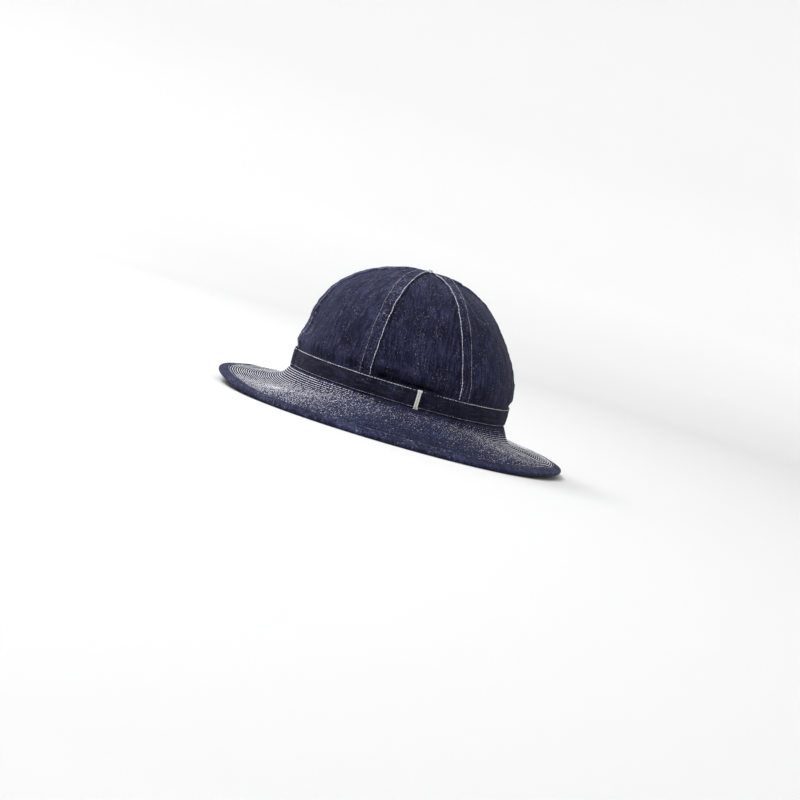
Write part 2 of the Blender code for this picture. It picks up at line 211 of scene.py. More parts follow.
def ripple(places, size, seed):
    """Smooth random relief, mostly from -1 to 1, with hollows of about this size."""
    dice = np.random.default_rng(seed)
    total = 0.0
    for _ in range(10):
        way = unit(dice.normal(size=places.shape[-1]))
        wave = 2 * pi / (size * dice.uniform(0.7, 1.5))
        total = total + np.sin(places @ way * wave + dice.uniform(0, 2 * pi))
    return total / 3.2


def waves(places, *rows):
    """Sum of ripples, each given by its height, size and seed."""
    return sum(height * ripple(places, size, seed) for height, size, seed in rows)


round_angles = np.linspace(0.0, 2 * pi, 1441)
round_lengths = length_along(oval(round_angles))
girth = float(round_lengths[-1])


def angle_at(place):
    """Angle of the point that lies this far round the foot from the front."""
    turns = np.floor(np.asarray(place) / girth)
    return turns * 2 * pi + np.interp(place - turns * girth, round_lengths, round_angles)


mean_radius = (half_length + half_width) / 2
profile_lengths = length_along(np.array([(row[0] * crown_height, row[2] * mean_radius)
                                         for row in crown_profile]))
wall_length = float(profile_lengths[-1])
wall_curve = [(length, *row) for length, row in zip(profile_lengths, crown_profile)]
seam_starts = [float(angle_at(girth * row[0])) for row in crown_seams]


def seam_angle(seam, along):
    """Angle of a seam at lengths up the wall; seam 6 is seam 0 a turn on."""
    bare = np.maximum(along - band_top, 0.0) / (wall_length - band_top)
    lean = radians(crown_seams[seam % 6][1]) * np.sin(pi * bare)
    return seam_starts[seam % 6] + 2 * pi * (seam // 6) + lean


def crown_skin(angle, along):
    """Outside of the crown, laps left out, at an angle and a length up the wall."""
    height, front, side, rear, lean = np.moveaxis(smooth_curve(wall_curve, along), -1, 0)
    up_wall = along / wall_length
    turn = np.mod(angle, 2 * pi)
    between, beside = np.zeros(np.shape(turn)), np.full(np.shape(turn), pi)
    for seam in range(6):
        low, high = seam_angle(seam, along), seam_angle(seam + 1, along)
        between = np.where((turn >= low) & (turn < high), (turn - low) / (high - low), between)
        beside = np.minimum(beside, np.minimum(np.abs(turn - low), np.abs(turn - high)))
    loose = ease((beside * mean_radius - lap_strip / 2 - lap_ramp / 4) / dents_beside)
    loose = loose * np.clip((along - band_top + dents_below) / dents_rise, 0.0, 1.0)
    free = np.clip(along / band_top - 1, 0.0, 1.0)
    share = front_side_rear(angle, front, side, rear)
    flat = free * np.sin(pi * up_wall) * np.sin(pi * between) ** 2
    share = share * (1 - panel_flatness * flat)
    for around, rise, spread, tall, depth in crown_dents:
        off = np.mod(np.degrees(angle) - around + 180.0, 360.0) - 180.0
        dent = np.exp(-(off / spread) ** 2 - ((up_wall - rise) / tall) ** 2)
        share = share + loose * depth * dent * head_width / half_width
    place = oval(angle) * share[..., None]
    place[..., 1] -= lean * half_length
    place[..., 2] = crown_foot + height * crown_height
    return place


def crown_frame(angle, along):
    """Points, outward directions and metres per radian on the crown."""
    step = 1e-4
    below, above = np.maximum(along - step, 0.0), np.minimum(along + step, wall_length)
    around = (crown_skin(angle + step, along) - crown_skin(angle - step, along)) / (2 * step)
    outward = unit(np.cross(around, crown_skin(angle, above) - crown_skin(angle, below)))
    return crown_skin(angle, along), outward, np.linalg.norm(around, axis=-1)


def lap_sizes(along):
    """Half strip, ramp, lift and hidden width of the laps at lengths up the wall."""
    from_top = wall_length - along + lap_margin
    wide = np.clip((from_top - lap_ends) / (lap_full - lap_ends), 0.0, 1.0)
    strip = np.maximum(lap_strip * wide, np.minimum(lap_strip, from_top) / 6)
    hidden = strip * np.clip((from_top - lap_ends) / (lap_covers - lap_ends), 0.0, 1.0)
    lift = lap_lift * np.clip((from_top - lap_margin) / (lap_ends - lap_margin), 0.0, 1.0)
    return strip / 2, np.minimum(lap_ramp, from_top / 5), lift, hidden


def seam_relief(inwards, along, half, seam):
    """Puckers that the stitches pull beside a seam, and ridges on its raised strip."""
    place = joined(along, 0.3 * inwards)
    beside = np.exp(-(np.maximum(np.abs(inwards) - half, 0.0) / pucker_reach) ** 2)
    strength = 0.6 + 0.4 * ripple(place, pucker_waning, 90 + seam)
    pucker = ripple(place, pucker_size, 40 + seam) * beside * strength
    on_strip = np.exp(-(inwards / np.maximum(half, 1e-4)) ** 4)
    roping = np.sin(2 * pi * (along / roping_step + inwards / roping_slant)) * on_strip
    fade = np.clip((wall_length - along) / pucker_fade, 0.0, 1.0)
    return fade * (pucker_height * pucker + roping_height * roping * strength)


def bare_relief(angle, along, across):
    """Soft creases of the free cloth; they die out at the band and at the top."""
    place = joined(angle * mean_radius, along * 0.55)
    free = ease((along - band_top) / 0.012) * ease((wall_length - along) / 0.030)
    return free * (waves(place, *crown_waves) + waves(joined(across, along), crown_cockle))


def loft_cloth(name, face, reverse, marks, materials, closed=False, reverse_marks=None):
    """Closed shell of cloth between two grids of points, with its two long edges rounded off.

    Marks hold two places for each point: on the flat cloth, and among its rows of stitching.
    """
    rows, columns = face.shape[:2]
    if reverse_marks is None:
        reverse_marks = marks
    bulge = np.linalg.norm(face[:, (0, -1)] - reverse[:, (0, -1)], axis=-1) * 0.4
    start = (face[:, 0] + reverse[:, 0]) / 2 + unit(face[:, 0] - face[:, 1]) * bulge[:, :1]
    end = (face[:, -1] + reverse[:, -1]) / 2 + unit(face[:, -1] - face[:, -2]) * bulge[:, 1:]
    points = np.concatenate((face, end[:, None], reverse[:, ::-1], start[:, None]), axis=1)
    marks = np.concatenate((marks, marks[:, -1:], reverse_marks[:, ::-1], marks[:, :1],
                            marks[:, :1]), axis=1)
    count = points.shape[1]
    last = rows if closed else rows - 1
    row, column = np.meshgrid(np.arange(last), np.arange(count), indexing="ij")
    row, column = row.ravel(), column.ravel()
    after_row, after_column = (row + 1) % rows, (column + 1) % count
    quads = joined(row * count + column, row * count + after_column,
                   after_row * count + after_column, after_row * count + column)
    corner_rows = joined(row, row, row + 1, row + 1)
    corner_columns = joined(column, column + 1, column + 1, column)
    slots = np.where((column > columns) & (column < count - 1), len(materials) - 1, 0)
    faces, slots = quads.tolist(), slots.tolist()
    corners = list(zip(corner_rows.ravel().tolist(), corner_columns.ravel().tolist()))
    caps = [(k, 2 * columns - k, 2 * columns - k - 1, k + 1) for k in range(columns - 1)]
    caps += [(columns - 1, columns + 1, columns), (0, count - 1, count - 2)]
    for ring in () if closed else (0, rows - 1):
        for cap in caps:
            places = cap if ring == 0 else cap[:1] + cap[:0:-1]
            faces.append([ring * count + place for place in places])
            corners += [(ring, place) for place in places]
            slots.append(0)
    mesh = bpy.data.meshes.new(name)
    mesh.from_pydata(points.reshape(-1, 3).tolist(), [], faces)
    corners = np.array(corners)
    for map_name, first in (("cloth", 0), ("rows", 2)):
        layer = mesh.uv_layers.new(name=map_name)
        places = marks[corners[:, 0], corners[:, 1], first:first + 2]
        layer.data.foreach_set("uv", places.astype(np.float32).ravel())
    for material in materials:
        mesh.materials.append(material)
    mesh.polygons.foreach_set("material_index", slots)
    points_to = np.cross(face[0, 1] - face[0, 0], face[1, 0] - face[0, 0])
    if points_to @ (face[0, 0] - reverse[0, 0]) < 0:  # the grids run the other way round
        mesh.flip_normals()
    mesh.shade_smooth()
    mesh.update()
    return add_object(name, mesh)


def set_inputs(tree, node, inputs):
    """Sets a node's inputs, or links them to the sockets given."""
    for socket, value in inputs.items():
        if isinstance(value, bpy.types.NodeSocket):
            tree.links.new(value, node.inputs[socket])
        else:
            node.inputs[socket].default_value = value


def add_node(tree, kind, inputs=None, output=0, **settings):
    """Output of a new node, with the node's settings made and its inputs set or linked."""
    made = tree.nodes.new(kind)
    for key, value in settings.items():
        setattr(made, key, value)
    set_inputs(tree, made, inputs or {})
    return made.outputs[output]


def map_range(tree, value, low, high, to_low=0.0, to_high=1.0):
    """Value brought from one range into another and held within it."""
    inputs = {"Value": value, 1: low, 2: high, 3: to_low, 4: to_high}
    return add_node(tree, "ShaderNodeMapRange", inputs)


def mixed(tree, share, first, second, blend_type="MIX"):
    """Two colours mixed, by the share of the second."""
    return add_node(tree, "ShaderNodeMix", {"Factor": share, 6: first, 7: second}, output=2,
                    data_type="RGBA", blend_type=blend_type)


def bump_of(tree, height, strength, distance):
    """Relief for a shader's normal."""
    inputs = {"Strength": strength, "Distance": distance, "Height": height}
    return add_node(tree, "ShaderNodeBump", inputs)


def cloth_noise(tree, marks, across, up, detail=2.0):
    """Noise with so many spots per metre across and up the cloth."""
    stretched = add_node(tree, "ShaderNodeMapping", {"Vector": marks, "Scale": (across, up, 1.0)})
    return add_node(tree, "ShaderNodeTexNoise",
                    {"Vector": stretched, "Scale": 1.0, "Detail": detail, "Roughness": 0.55})


def sum_of(tree, *shares):
    """Sum of values, each times its share."""
    total = None
    for value, share in shares:
        inputs = {0: value, 1: share, 2: 0.0 if total is None else total}
        total = add_node(tree, "ShaderNodeMath", inputs, operation="MULTIPLY_ADD")
    return total


def new_material(name):
    """New material with its node tree and its shader."""
    made = bpy.data.materials.new(name)
    made.use_nodes = True
    return made, made.node_tree, made.node_tree.nodes["Principled BSDF"]


def denim(name, dark, blue, pale, neps, seam_wear_and_highlight=0.0):
    """Ring-spun indigo denim: slubs in warp and weft, a twill line, pale neps and soft fading."""
    material, tree, shader = new_material(name)
    marks = add_node(tree, "ShaderNodeUVMap", uv_map="cloth")
    warp, slub, weft, patch, grain = [cloth_noise(tree, marks, *spots) for spots in (
        (1050.0, 170.0, 3.0), (420.0, 62.0, 1.0), (90.0, 1050.0), (42.0, 30.0, 3.0),
        (1300.0, 1000.0))]
    turned = add_node(tree, "ShaderNodeMapping",
                      {"Vector": marks, "Rotation": (0.0, 0.0, 1.05), "Scale": (1000.0, 1000.0, 1.0)})
    twill = add_node(tree, "ShaderNodeTexWave", output="Fac",
                     inputs={"Vector": turned, "Scale": 0.46, "Distortion": 1.2, "Detail": 1.0})
    tone = sum_of(tree, (warp, 0.26), (slub, 0.24), (weft, 0.14), (patch, 0.16), (grain, 0.20))
    ramp = add_node(tree, "ShaderNodeValToRGB", {"Fac": tone})
    elements = tree.nodes[-1].color_ramp.elements
    elements[0].position, elements[0].color = 0.425, (*dark, 1.0)
    elements[1].position, elements[1].color = 0.585, (*pale, 1.0)
    elements.new(0.49).color = (*blue, 1.0)
    woven = mixed(tree, 0.30, ramp, twill, "MULTIPLY")
    spots = cloth_noise(tree, marks, 1000.0, 440.0, 1.0)
    dashes = cloth_noise(tree, marks, 300.0, 1500.0, 1.0)
    where = cloth_noise(tree, marks, 75.0, 45.0)
    fade = cloth_noise(tree, marks, 18.0, 11.0, 1.0)
    rows = add_node(tree, "ShaderNodeUVMap", uv_map="rows")
    from_first = add_node(tree, "ShaderNodeSeparateXYZ", {0: rows})
    from_second = tree.nodes[-1].outputs["Y"]
    nearest = add_node(tree, "ShaderNodeMath", {0: from_first, 1: from_second}, operation="MINIMUM")
    # Pale flecks thicken along the seams: partly seam wear, partly a painted highlight on the raised
    # laps
    worn_and_lit = map_range(tree, nearest, 0.012, 0.002, 0.0, seam_wear_and_highlight)
    chance = sum_of(tree, (spots, 0.46), (dashes, 0.24), (where, 0.20), (fade, 0.10), (worn_and_lit, 1.0))
    fleck = map_range(tree, chance, 0.574 - neps, 0.680 - neps)
    colour = mixed(tree, fleck, woven, (0.24, 0.25, 0.31, 1.0))
    relief = sum_of(tree, (twill, 0.35), (warp, 0.6), (grain, 0.6), (weft, 0.4))
    set_inputs(tree, shader, {"Base Color": colour, "Normal": bump_of(tree, relief, 0.7, 0.0004),
                              "Roughness": 0.88, "Specular IOR Level": 0.14, "Sheen Weight": 0.05,
                              "Sheen Roughness": 0.45, "Sheen Tint": (0.60, 0.64, 0.85, 1.0)})
    return material


# Its last setting thickens the pale flecks along the seams: seam wear and painted highlight
indigo_denim = denim("indigo denim", (0.0035, 0.0041, 0.0128), (0.0093, 0.0103, 0.0326),
                     (0.0410, 0.0450, 0.1010), -0.006, 0.022)
denim_reverse = denim("reverse of denim", (0.070, 0.078, 0.120), (0.150, 0.160, 0.210),
                      (0.260, 0.270, 0.310), 0.02)

row_places = ((0.0, 0.0), (0.06, band_top), (0.30, 0.042), (1.0, wall_length - point_radius))
lengths_up = np.interp(np.linspace(0.0, 1.0, panel_rows), *np.array(row_places).T)
for place in range(6):
    node_name = crown_seams[place][3]
    along = np.broadcast_to(lengths_up[:, None], (panel_rows, panel_columns))
    half, ramp, lift, hidden = lap_sizes(along)
    first, second = seam_angle(place, along), seam_angle(place + 1, along)
    first_rate, second_rate = crown_frame(first, along)[2], crown_frame(second, along)[2]
    first_over = crown_seams[place][2] > 0
    second_over = crown_seams[(place + 1) % 6][2] < 0
    tucked = half + clearance - hidden
    low = first + (-half if first_over else tucked) / first_rate
    high = second - (-half if second_over else tucked) / second_rate
    angle = low + (high - low) * np.linspace(0.0, 1.0, panel_columns)
    from_first, from_second = (angle - first) * first_rate, (second - angle) * second_rate
    skin, outward, rate = crown_frame(angle, along)
    across = (angle - (first + second) / 2) * rate
    raised = bare_relief(angle, along, across)
    for inwards, over, seam in ((from_first, first_over, place),
                                (from_second, second_over, place + 1)):
        raised = raised + seam_relief(inwards, along, half, seam % 6)
        if over:
            raised = raised + lift * ease(1 - (inwards - half) / ramp)
    face = skin + outward * raised[..., None]
    marks = joined(across + panel_shift * place, along, from_first, from_second)
    panel = loft_cloth(node_name + "_cloth", face[:, ::-1], (face - outward * crown_cloth)[:, ::-1],
                       marks[:, ::-1], (indigo_denim, denim_reverse))
    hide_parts(node_name)
    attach(panel, "root")


# Stitching of the crown seams: two rows of lockstitch in ivory topstitch thread through each lap. The
# row beside the folded edge stands proud; the other has sunk into the cloth, and its thread is
# painted greyer as painted shade
edge_to_row = 0.0012
row_to_row = 0.0098
proud_stitch, proud_thread, proud_height = 0.0031, 0.00054, 0.00012
sunk_stitch, sunk_thread, sunk_height = 0.0030, 0.00036, 0.00004
row_steps = 150
sway_width, sway_length = 0.00022, 0.016

# This tree lays a stitch at every step along rows that carry an outward direction
tree = stitches = bpy.data.node_groups.new("stitches along rows", "GeometryNodeTree")
sockets = tree.interface
sockets.new_socket("Rows", in_out="INPUT", socket_type="NodeSocketGeometry")
for name, value in (("Stitch length", 0.0026), ("Thread", 0.0005), ("Turn", 0.06)):
    sockets.new_socket(name, in_out="INPUT", socket_type="NodeSocketFloat").default_value = value
sockets.new_socket("Seed", in_out="INPUT", socket_type="NodeSocketInt")
sockets.new_socket("Material", in_out="INPUT", socket_type="NodeSocketMaterial")
sockets.new_socket("Stitches", in_out="OUTPUT", socket_type="NodeSocketGeometry")
given = tree.nodes.new("NodeGroupInput").outputs
curve = add_node(tree, "GeometryNodeMeshToCurve", {"Mesh": given["Rows"]})
steps = add_node(tree, "GeometryNodeResampleCurve",
                 {"Curve": curve, "Length": given["Stitch length"]}, mode="LENGTH")
bead = add_node(tree, "GeometryNodeMeshIcoSphere", {"Radius": 0.5, "Subdivisions": 1})
long = add_node(tree, "ShaderNodeMath", {0: given["Stitch length"], 1: 1.16}, operation="MULTIPLY")
size = add_node(tree, "ShaderNodeCombineXYZ", {0: long, 1: given["Thread"], 2: given["Thread"]})
stitch = add_node(tree, "GeometryNodeTransform", {"Geometry": bead, "Scale": size})
outward = add_node(tree, "GeometryNodeInputNamedAttribute", {"Name": "outward"},
                   data_type="FLOAT_VECTOR")
tangent = add_node(tree, "GeometryNodeInputTangent")
turned = add_node(tree, "FunctionNodeAxesToRotation",
                  {"Primary Axis": outward, "Secondary Axis": tangent},
                  primary_axis="Z", secondary_axis="X")
back_turn = add_node(tree, "ShaderNodeMath", {0: given["Turn"], 1: -1.0}, operation="MULTIPLY")
tree.nodes.new("FunctionNodeRandomValue").data_type = "FLOAT"
dice = tree.nodes[-1]
tree.links.new(back_turn, dice.inputs[2])
tree.links.new(given["Turn"], dice.inputs[3])
tree.links.new(given["Seed"], dice.inputs["Seed"])
swing = add_node(tree, "ShaderNodeCombineXYZ", {2: dice.outputs[1]})
swing = add_node(tree, "FunctionNodeEulerToRotation", {0: swing})
facing = add_node(tree, "FunctionNodeRotateRotation",
                  {"Rotation": turned, "Rotate By": swing}, rotation_space="LOCAL")
laid = add_node(tree, "GeometryNodeInstanceOnPoints",
                {"Points": steps, "Instance": stitch, "Rotation": facing})
real = add_node(tree, "GeometryNodeRealizeInstances", {"Geometry": laid})
smooth = add_node(tree, "GeometryNodeSetShadeSmooth", {0: real})
done = add_node(tree, "GeometryNodeSetMaterial",
                {"Geometry": smooth, "Material": given["Material"]})
tree.links.new(done, tree.nodes.new("NodeGroupOutput").inputs["Stitches"])
stitch_inputs = {item.name: item.identifier for item in sockets.items_tree
                 if item.in_out == "INPUT"}


def sew(name, rows, length, thread, material, seed):
    """Stitches along rows, each given as its points, its outward directions and if it closes."""
    points = np.concatenate([row[0] for row in rows])
    outward = np.concatenate([row[1] for row in rows])
    edges, start = [], 0
    for row_points, _, closes in rows:
        count = len(row_points)
        edges += [(start + k, start + k + 1) for k in range(count - 1)]
        if closes:
            edges.append((start + count - 1, start))
        start += count
    mesh = bpy.data.meshes.new(name + "_rows")
    mesh.from_pydata(points.tolist(), edges, [])
    marks = mesh.attributes.new("outward", "FLOAT_VECTOR", "POINT")
    marks.data.foreach_set("vector", outward.astype(np.float32).ravel())
    guide = add_object(name + "_rows", mesh)
    modifier = guide.modifiers.new("stitches", "NODES")
    modifier.node_group = stitches
    for setting, value in (("Stitch length", length), ("Thread", thread), ("Seed", seed),
                           ("Material", material)):
        modifier[stitch_inputs[setting]] = value
    graph = bpy.context.evaluated_depsgraph_get()
    sewn = bpy.data.meshes.new_from_object(guide.evaluated_get(graph), depsgraph=graph)
    bpy.data.objects.remove(guide)
    sewn.name = name
    piece = add_object(name, sewn)
    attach(piece, "root")


def thread_material(name, colour, shade, clean=0.38, stained=0.66, side_shade=0.0, spots=260.0):
    """Twisted cotton thread, darker at random where it has taken up indigo, and painted darker
    towards the hat's sides as painted shade.
    """
    material, tree, shader = new_material(name)
    place = add_node(tree, "ShaderNodeTexCoord", output="Object")
    stain_and_shade = add_node(tree, "ShaderNodeTexNoise", {"Vector": place, "Scale": spots, "Detail": 3.0})
    sideways = add_node(tree, "ShaderNodeSeparateXYZ", {0: place})
    sideways = add_node(tree, "ShaderNodeMath", {0: sideways}, operation="ABSOLUTE")
    # Painted shade: the thread is made darker the further it lies sideways from the hat's middle
    stain_and_shade = sum_of(tree, (stain_and_shade, 1.0), (map_range(tree, sideways, 0.030, 0.115), side_shade))
    stain_and_shade = map_range(tree, stain_and_shade, clean, stained)
    dyed = mixed(tree, stain_and_shade, (*colour, 1.0), (*shade, 1.0))
    twist = add_node(tree, "ShaderNodeTexNoise", {"Vector": place, "Scale": 3800.0, "Detail": 1.0})
    set_inputs(tree, shader, {"Base Color": dyed, "Normal": bump_of(tree, twist, 0.5, 0.0001),
                              "Roughness": 0.72, "Sheen Weight": 0.15})
    return material


white_cotton = thread_material("white thread", (0.92, 0.92, 0.94), (0.36, 0.38, 0.47), 0.40, 0.62)
# A greyer copy of the same ivory thread, for the sunk seam rows and the band's bottom row: painted
# shade
shaded_cotton = thread_material("white thread in painted shade", (0.46, 0.47, 0.53), (0.10, 0.11, 0.17))


def seam_row(seam, inwards, proud):
    """Row of stitching up a seam, at a distance from its middle towards the upper gore."""
    side = crown_seams[seam][2]
    along = np.linspace(band_top - dents_below, wall_length - point_radius, row_steps)
    half, ramp, lift = lap_sizes(along)[:3]
    room = half / (lap_strip / 2)
    middle = seam_angle(seam, along)
    rate = crown_frame(middle, along)[2]
    sway = sway_width * ripple(along[:, None], sway_length, 60 + seam)
    angle = middle + side * (inwards + sway) * room / rate
    skin, outward, _ = crown_frame(angle, along)
    from_seam = (angle - middle) * rate * side
    across = np.zeros(len(along))
    raised = lift * ease(1 - (from_seam - half) / ramp) + seam_relief(from_seam, along, half, seam)
    raised = raised + bare_relief(angle, along, across) + proud
    return skin + outward * raised[:, None], outward, False


edge_row = -lap_strip / 2 + edge_to_row
sunk_row = edge_row + row_to_row
sew("crown_stitches_proud", [seam_row(seam, edge_row, proud_height) for seam in range(6)],
    proud_stitch, proud_thread, white_cotton, 11)
sew("crown_stitches_sunk", [seam_row(seam, sunk_row, sunk_height) for seam in range(6)],
    sunk_stitch, sunk_thread, shaded_cotton, 12)


# Tack at the top of the crown: the ends of the seam threads are sewn across one another there,
# over the points of the gores, and leave a small hard knot of ivory thread
tack_reach, tack_height, tack_width = 0.0060, 0.0019, 0.0022
tack_lines, tack_points = 9, 13
tack_turn, short_line = 0.3, 0.55
tack_lift, tack_layer = 0.0005, 0.00008  # height of the first line, and what each one adds
tack_stitch, tack_thread = 0.0022, 0.0009
tack_rows = []
for line in range(tack_lines):
    turn = pi * line / tack_lines + tack_turn
    reach = tack_reach * (1.0 if line % 3 == 0 else short_line)
    away = np.linspace(-1.0, 1.0, tack_points) * reach
    facing = np.where(away < 0, turn + pi, turn)
    points = crown_skin(facing, np.maximum(wall_length - np.abs(away), 0.0))
    knot = tack_height * np.exp(-(away / tack_width) ** 2)
    points[:, 2] += tack_lift + knot + tack_layer * line
    tack_rows.append((points, np.tile((0.0, 0.0, 1.0), (tack_points, 1)), False))
sew("crown_tack", tack_rows, tack_stitch, tack_thread, white_cotton, 13)


# Hat band: a folded strip of darker denim round the foot of the crown, sewn along its top and
# bottom edges. It goes over the crown's seams, and its end laps over its start on the left
band_height = 0.0174
band_cloth = 0.0012
band_ease = 0.0005
band_edge = band_ease + band_cloth
band_lap, band_lap_at = 0.0120, 0.262  # its end lies at this share of the girth
band_lap_lift = 0.0015
band_columns, band_rows = 470, 15
band_swell = 0.00035  # soft fullness half way up
band_edge_round, band_edge_share = 0.00025, 0.10  # how its two folded edges turn in
band_waves = ((0.00022, 0.028, 21), (0.00008, 0.0075, 22))


def band_lift(place):
    """How far the band stands off where it passes over the seams and over its own start."""
    lift = np.zeros(len(place))
    for row in crown_seams:
        off = np.abs(np.mod(place - row[0] * girth + girth / 2, girth) - girth / 2)
        over = ease(1 - (off - lap_strip / 2 - band_ease) / (1.5 * lap_ramp))
        lift = np.maximum(lift, lap_lift * over)
    start_of_lap = band_lap_at * girth - band_lap + girth
    return lift + band_lap_lift * ease((place - start_of_lap) / lap_ramp + 1)


def band_face(place, up_band, back=0.0):
    """Outside of the band at a way round and a share of its height, less a depth into it."""
    angle = angle_at(place)
    mark = joined(place, up_band * band_height)
    soft = (waves(mark, *band_waves) + band_swell) * np.sin(pi * up_band)
    inner = ease(up_band / band_edge_share) + ease((1 - up_band) / band_edge_share)
    edge = band_edge_round * (inner - 2)
    grow = band_edge + band_lift(place) + (soft + edge) * (back == 0.0) - back
    point = oval(angle, grow)
    point[..., 2] = crown_foot + band_height * up_band
    return point


band_denim = denim("band denim", (0.0034, 0.0037, 0.0090), (0.0075, 0.0084, 0.0210),
                   (0.0270, 0.0300, 0.0640), -0.03)
band_end = band_lap_at * girth
band_places = np.linspace(band_end - band_lap, band_end + girth, band_columns)
up_rows = np.linspace(0.0, 1.0, band_rows)
up_rows = ease(up_rows) * 0.5 + up_rows * 0.5
face = np.stack([band_face(band_places, np.full(band_columns, u)) for u in up_rows], axis=1)
reverse = np.stack([band_face(band_places, np.full(band_columns, u), band_cloth)
                    for u in up_rows], axis=1)
marks = joined(*np.broadcast_arrays(up_rows[None, :] * band_height, band_places[:, None],
                                    up_rows[None, :], band_places[:, None]))
band = loft_cloth("hat_band_cloth", face[:, ::-1], reverse[:, ::-1], marks[:, ::-1], (band_denim,))
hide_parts("hat_band")
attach(band, "root")

top_row_down, bottom_row_up = 0.0011, 0.0013  # rows from the band's edges
top_stitch, top_thread, top_height = 0.0031, 0.00052, 0.00012
bottom_stitch, bottom_thread, bottom_height = 0.0027, 0.00040, 0.00005
sink_depth, sink_reach = 0.00039, 0.026  # the top row sinks in beside the tape loop
sink_middle = (band_lap_at + 0.008) * girth
band_row_places = np.linspace(band_end + 0.0006, band_end + girth - 0.0008, 900)


def band_row(from_bottom, proud, sunk=0.0):
    """Row of stitching at a height up the band; it may sink in beside the tape loop."""
    up_band = np.full(len(band_row_places), from_bottom / band_height)
    points = band_face(band_row_places, up_band)
    outward = unit(oval(angle_at(band_row_places), 0.01) - oval(angle_at(band_row_places)))
    from_sink = np.mod(band_row_places - sink_middle + girth / 2, girth) - girth / 2
    height = proud - sunk * np.exp(-(from_sink / sink_reach) ** 2)
    return points + outward * height[:, None], outward, False


sew("band_stitches_top", [band_row(band_height - top_row_down, top_height, sink_depth)],
    top_stitch, top_thread, white_cotton, 14)
# The bottom row is sewn with the greyer thread: painted shade
sew("band_stitches_bottom", [band_row(bottom_row_up, bottom_height)],
    bottom_stitch, bottom_thread, shaded_cotton, 15)


# Tape loop: a short length of ivory cotton tape set upright on the band beside its lapped end,
# bowed out a little between the bar tacks that hold its two ends
loop_width, loop_length, loop_cloth = 0.0034, 0.0178, 0.0010
loop_from_end = 0.0048  # its middle, from the end of the band
loop_bow = 0.0006
loop_below = 0.0006  # how far it reaches below the band
loop_columns, loop_rows = 9, 36
selvedge_height = 0.00030
tape_face = loop_width - 0.8 * loop_cloth  # flat part, between the rounded edges
tack_half, tack_tall, tack_threads, tack_steps = 0.0015, 0.0018, 4, 7
bar_stitch, bar_thread, bar_height = 0.0013, 0.00066, 0.0003


def loop_face(across_tape, up_tape, back=0.0):
    """Outside of the tape; across is from -1 to 1 and up from 0 to 1."""
    place = band_end - loop_from_end + across_tape * tape_face / 2
    stand = band_edge + band_lap_lift + clearance + loop_cloth - back
    selvedge = selvedge_height * np.abs(across_tape) ** 4 * (back == 0.0)
    point = oval(angle_at(place), stand + loop_bow * np.sin(pi * up_tape) + selvedge)
    point[..., 2] = crown_foot - loop_below + up_tape * loop_length
    return point


cotton_tape, tree, shader = new_material("cotton tape")
flat_tape = add_node(tree, "ShaderNodeUVMap", uv_map="cloth")
rib = add_node(tree, "ShaderNodeMapping", {"Vector": flat_tape, "Scale": (1, 1000, 1)})
rib = add_node(tree, "ShaderNodeTexWave", {"Vector": rib, "Scale": 0.5, "Distortion": 0.6},
               output="Fac", bands_direction="Y")
soil = cloth_noise(tree, flat_tape, 500.0, 260.0)
# The tape's colour is paler at its edges and darker down its middle
side = add_node(tree, "ShaderNodeUVMap", uv_map="rows")
side = add_node(tree, "ShaderNodeSeparateXYZ", {0: side})
side = add_node(tree, "ShaderNodeMath", {0: side}, operation="ABSOLUTE")
side = map_range(tree, side, 0.35, 0.75)
tone = sum_of(tree, (rib, 0.20), (soil, 0.40), (side, 0.45))
colour = mixed(tree, tone, (0.33, 0.33, 0.32, 1.0), (0.94, 0.93, 0.87, 1.0))
set_inputs(tree, shader, {"Base Color": colour, "Normal": bump_of(tree, rib, 0.6, 0.0002),
                          "Roughness": 0.8, "Sheen Weight": 0.1})

tape_across, tape_up = np.meshgrid(np.linspace(-1, 1, loop_columns), np.linspace(0, 1, loop_rows))
marks = joined(tape_across * tape_face / 2, tape_up * loop_length, tape_across, tape_up)
loop = loft_cloth("band_loop_tape", loop_face(tape_across, tape_up)[:, ::-1],
                  loop_face(tape_across, tape_up, loop_cloth)[:, ::-1], marks[:, ::-1],
                  (cotton_tape,))
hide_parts("band_loop")
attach(loop, "root")

tack_rows = []
tack_across = np.linspace(-2.0, 2.0, tack_steps) * tack_half / tape_face
for far_end in (0.0, 1.0):
    for step in np.linspace(0.0003, tack_tall, tack_threads):
        up_tape = np.full(tack_steps, abs(far_end - step / loop_length))
        points = loop_face(tack_across, up_tape)
        outward = unit(points - loop_face(tack_across, up_tape, loop_cloth / 2))
        tack_rows.append((points + outward * bar_height, outward, False))
sew("loop_tacks", tack_rows, bar_stitch, bar_thread, white_cotton, 16)


# Brim: two layers of indigo denim quilted together with close rows of ivory lockstitch that run
# round it from the band to the binding. The rows sink in, so the cloth swells between them
brim_reach = 0.0640
brim_top = 0.0308
brim_cloth = 0.0018
hem_cloth, hem_taper = 0.0010, 0.0020  # the brim is thinner inside its binding
binding_width, binding_cloth = 0.0100, 0.0011
binding_half = hem_cloth / 2 + clearance + binding_cloth
edge_height = binding_half / 2  # of the middle layer where the hat rests
brim_columns = 400
stitch_rows = 29
row_from_band, row_from_binding = 0.0014, 0.0008
row_proud, row_sunk, row_uneven = 0.00013, 0.00020, 0.00007
rows_by_band = 7  # these lie deepest at the sides and the rear
rear_depth = 2.5
brim_stitch, brim_thread = 0.0030, 0.00062
quilt_height, quilt_waves = 0.00030, (0.25, 0.0060, 34)
quilt_inside = 0.55  # share of that height below the solid's face
quilt_fullness = 0.62
brim_waves = ((0.00050, 0.050, 31), (0.00012, 0.014, 32))
still_inside, still_outside = 0.010, 0.012  # the waves die out by the band and the binding
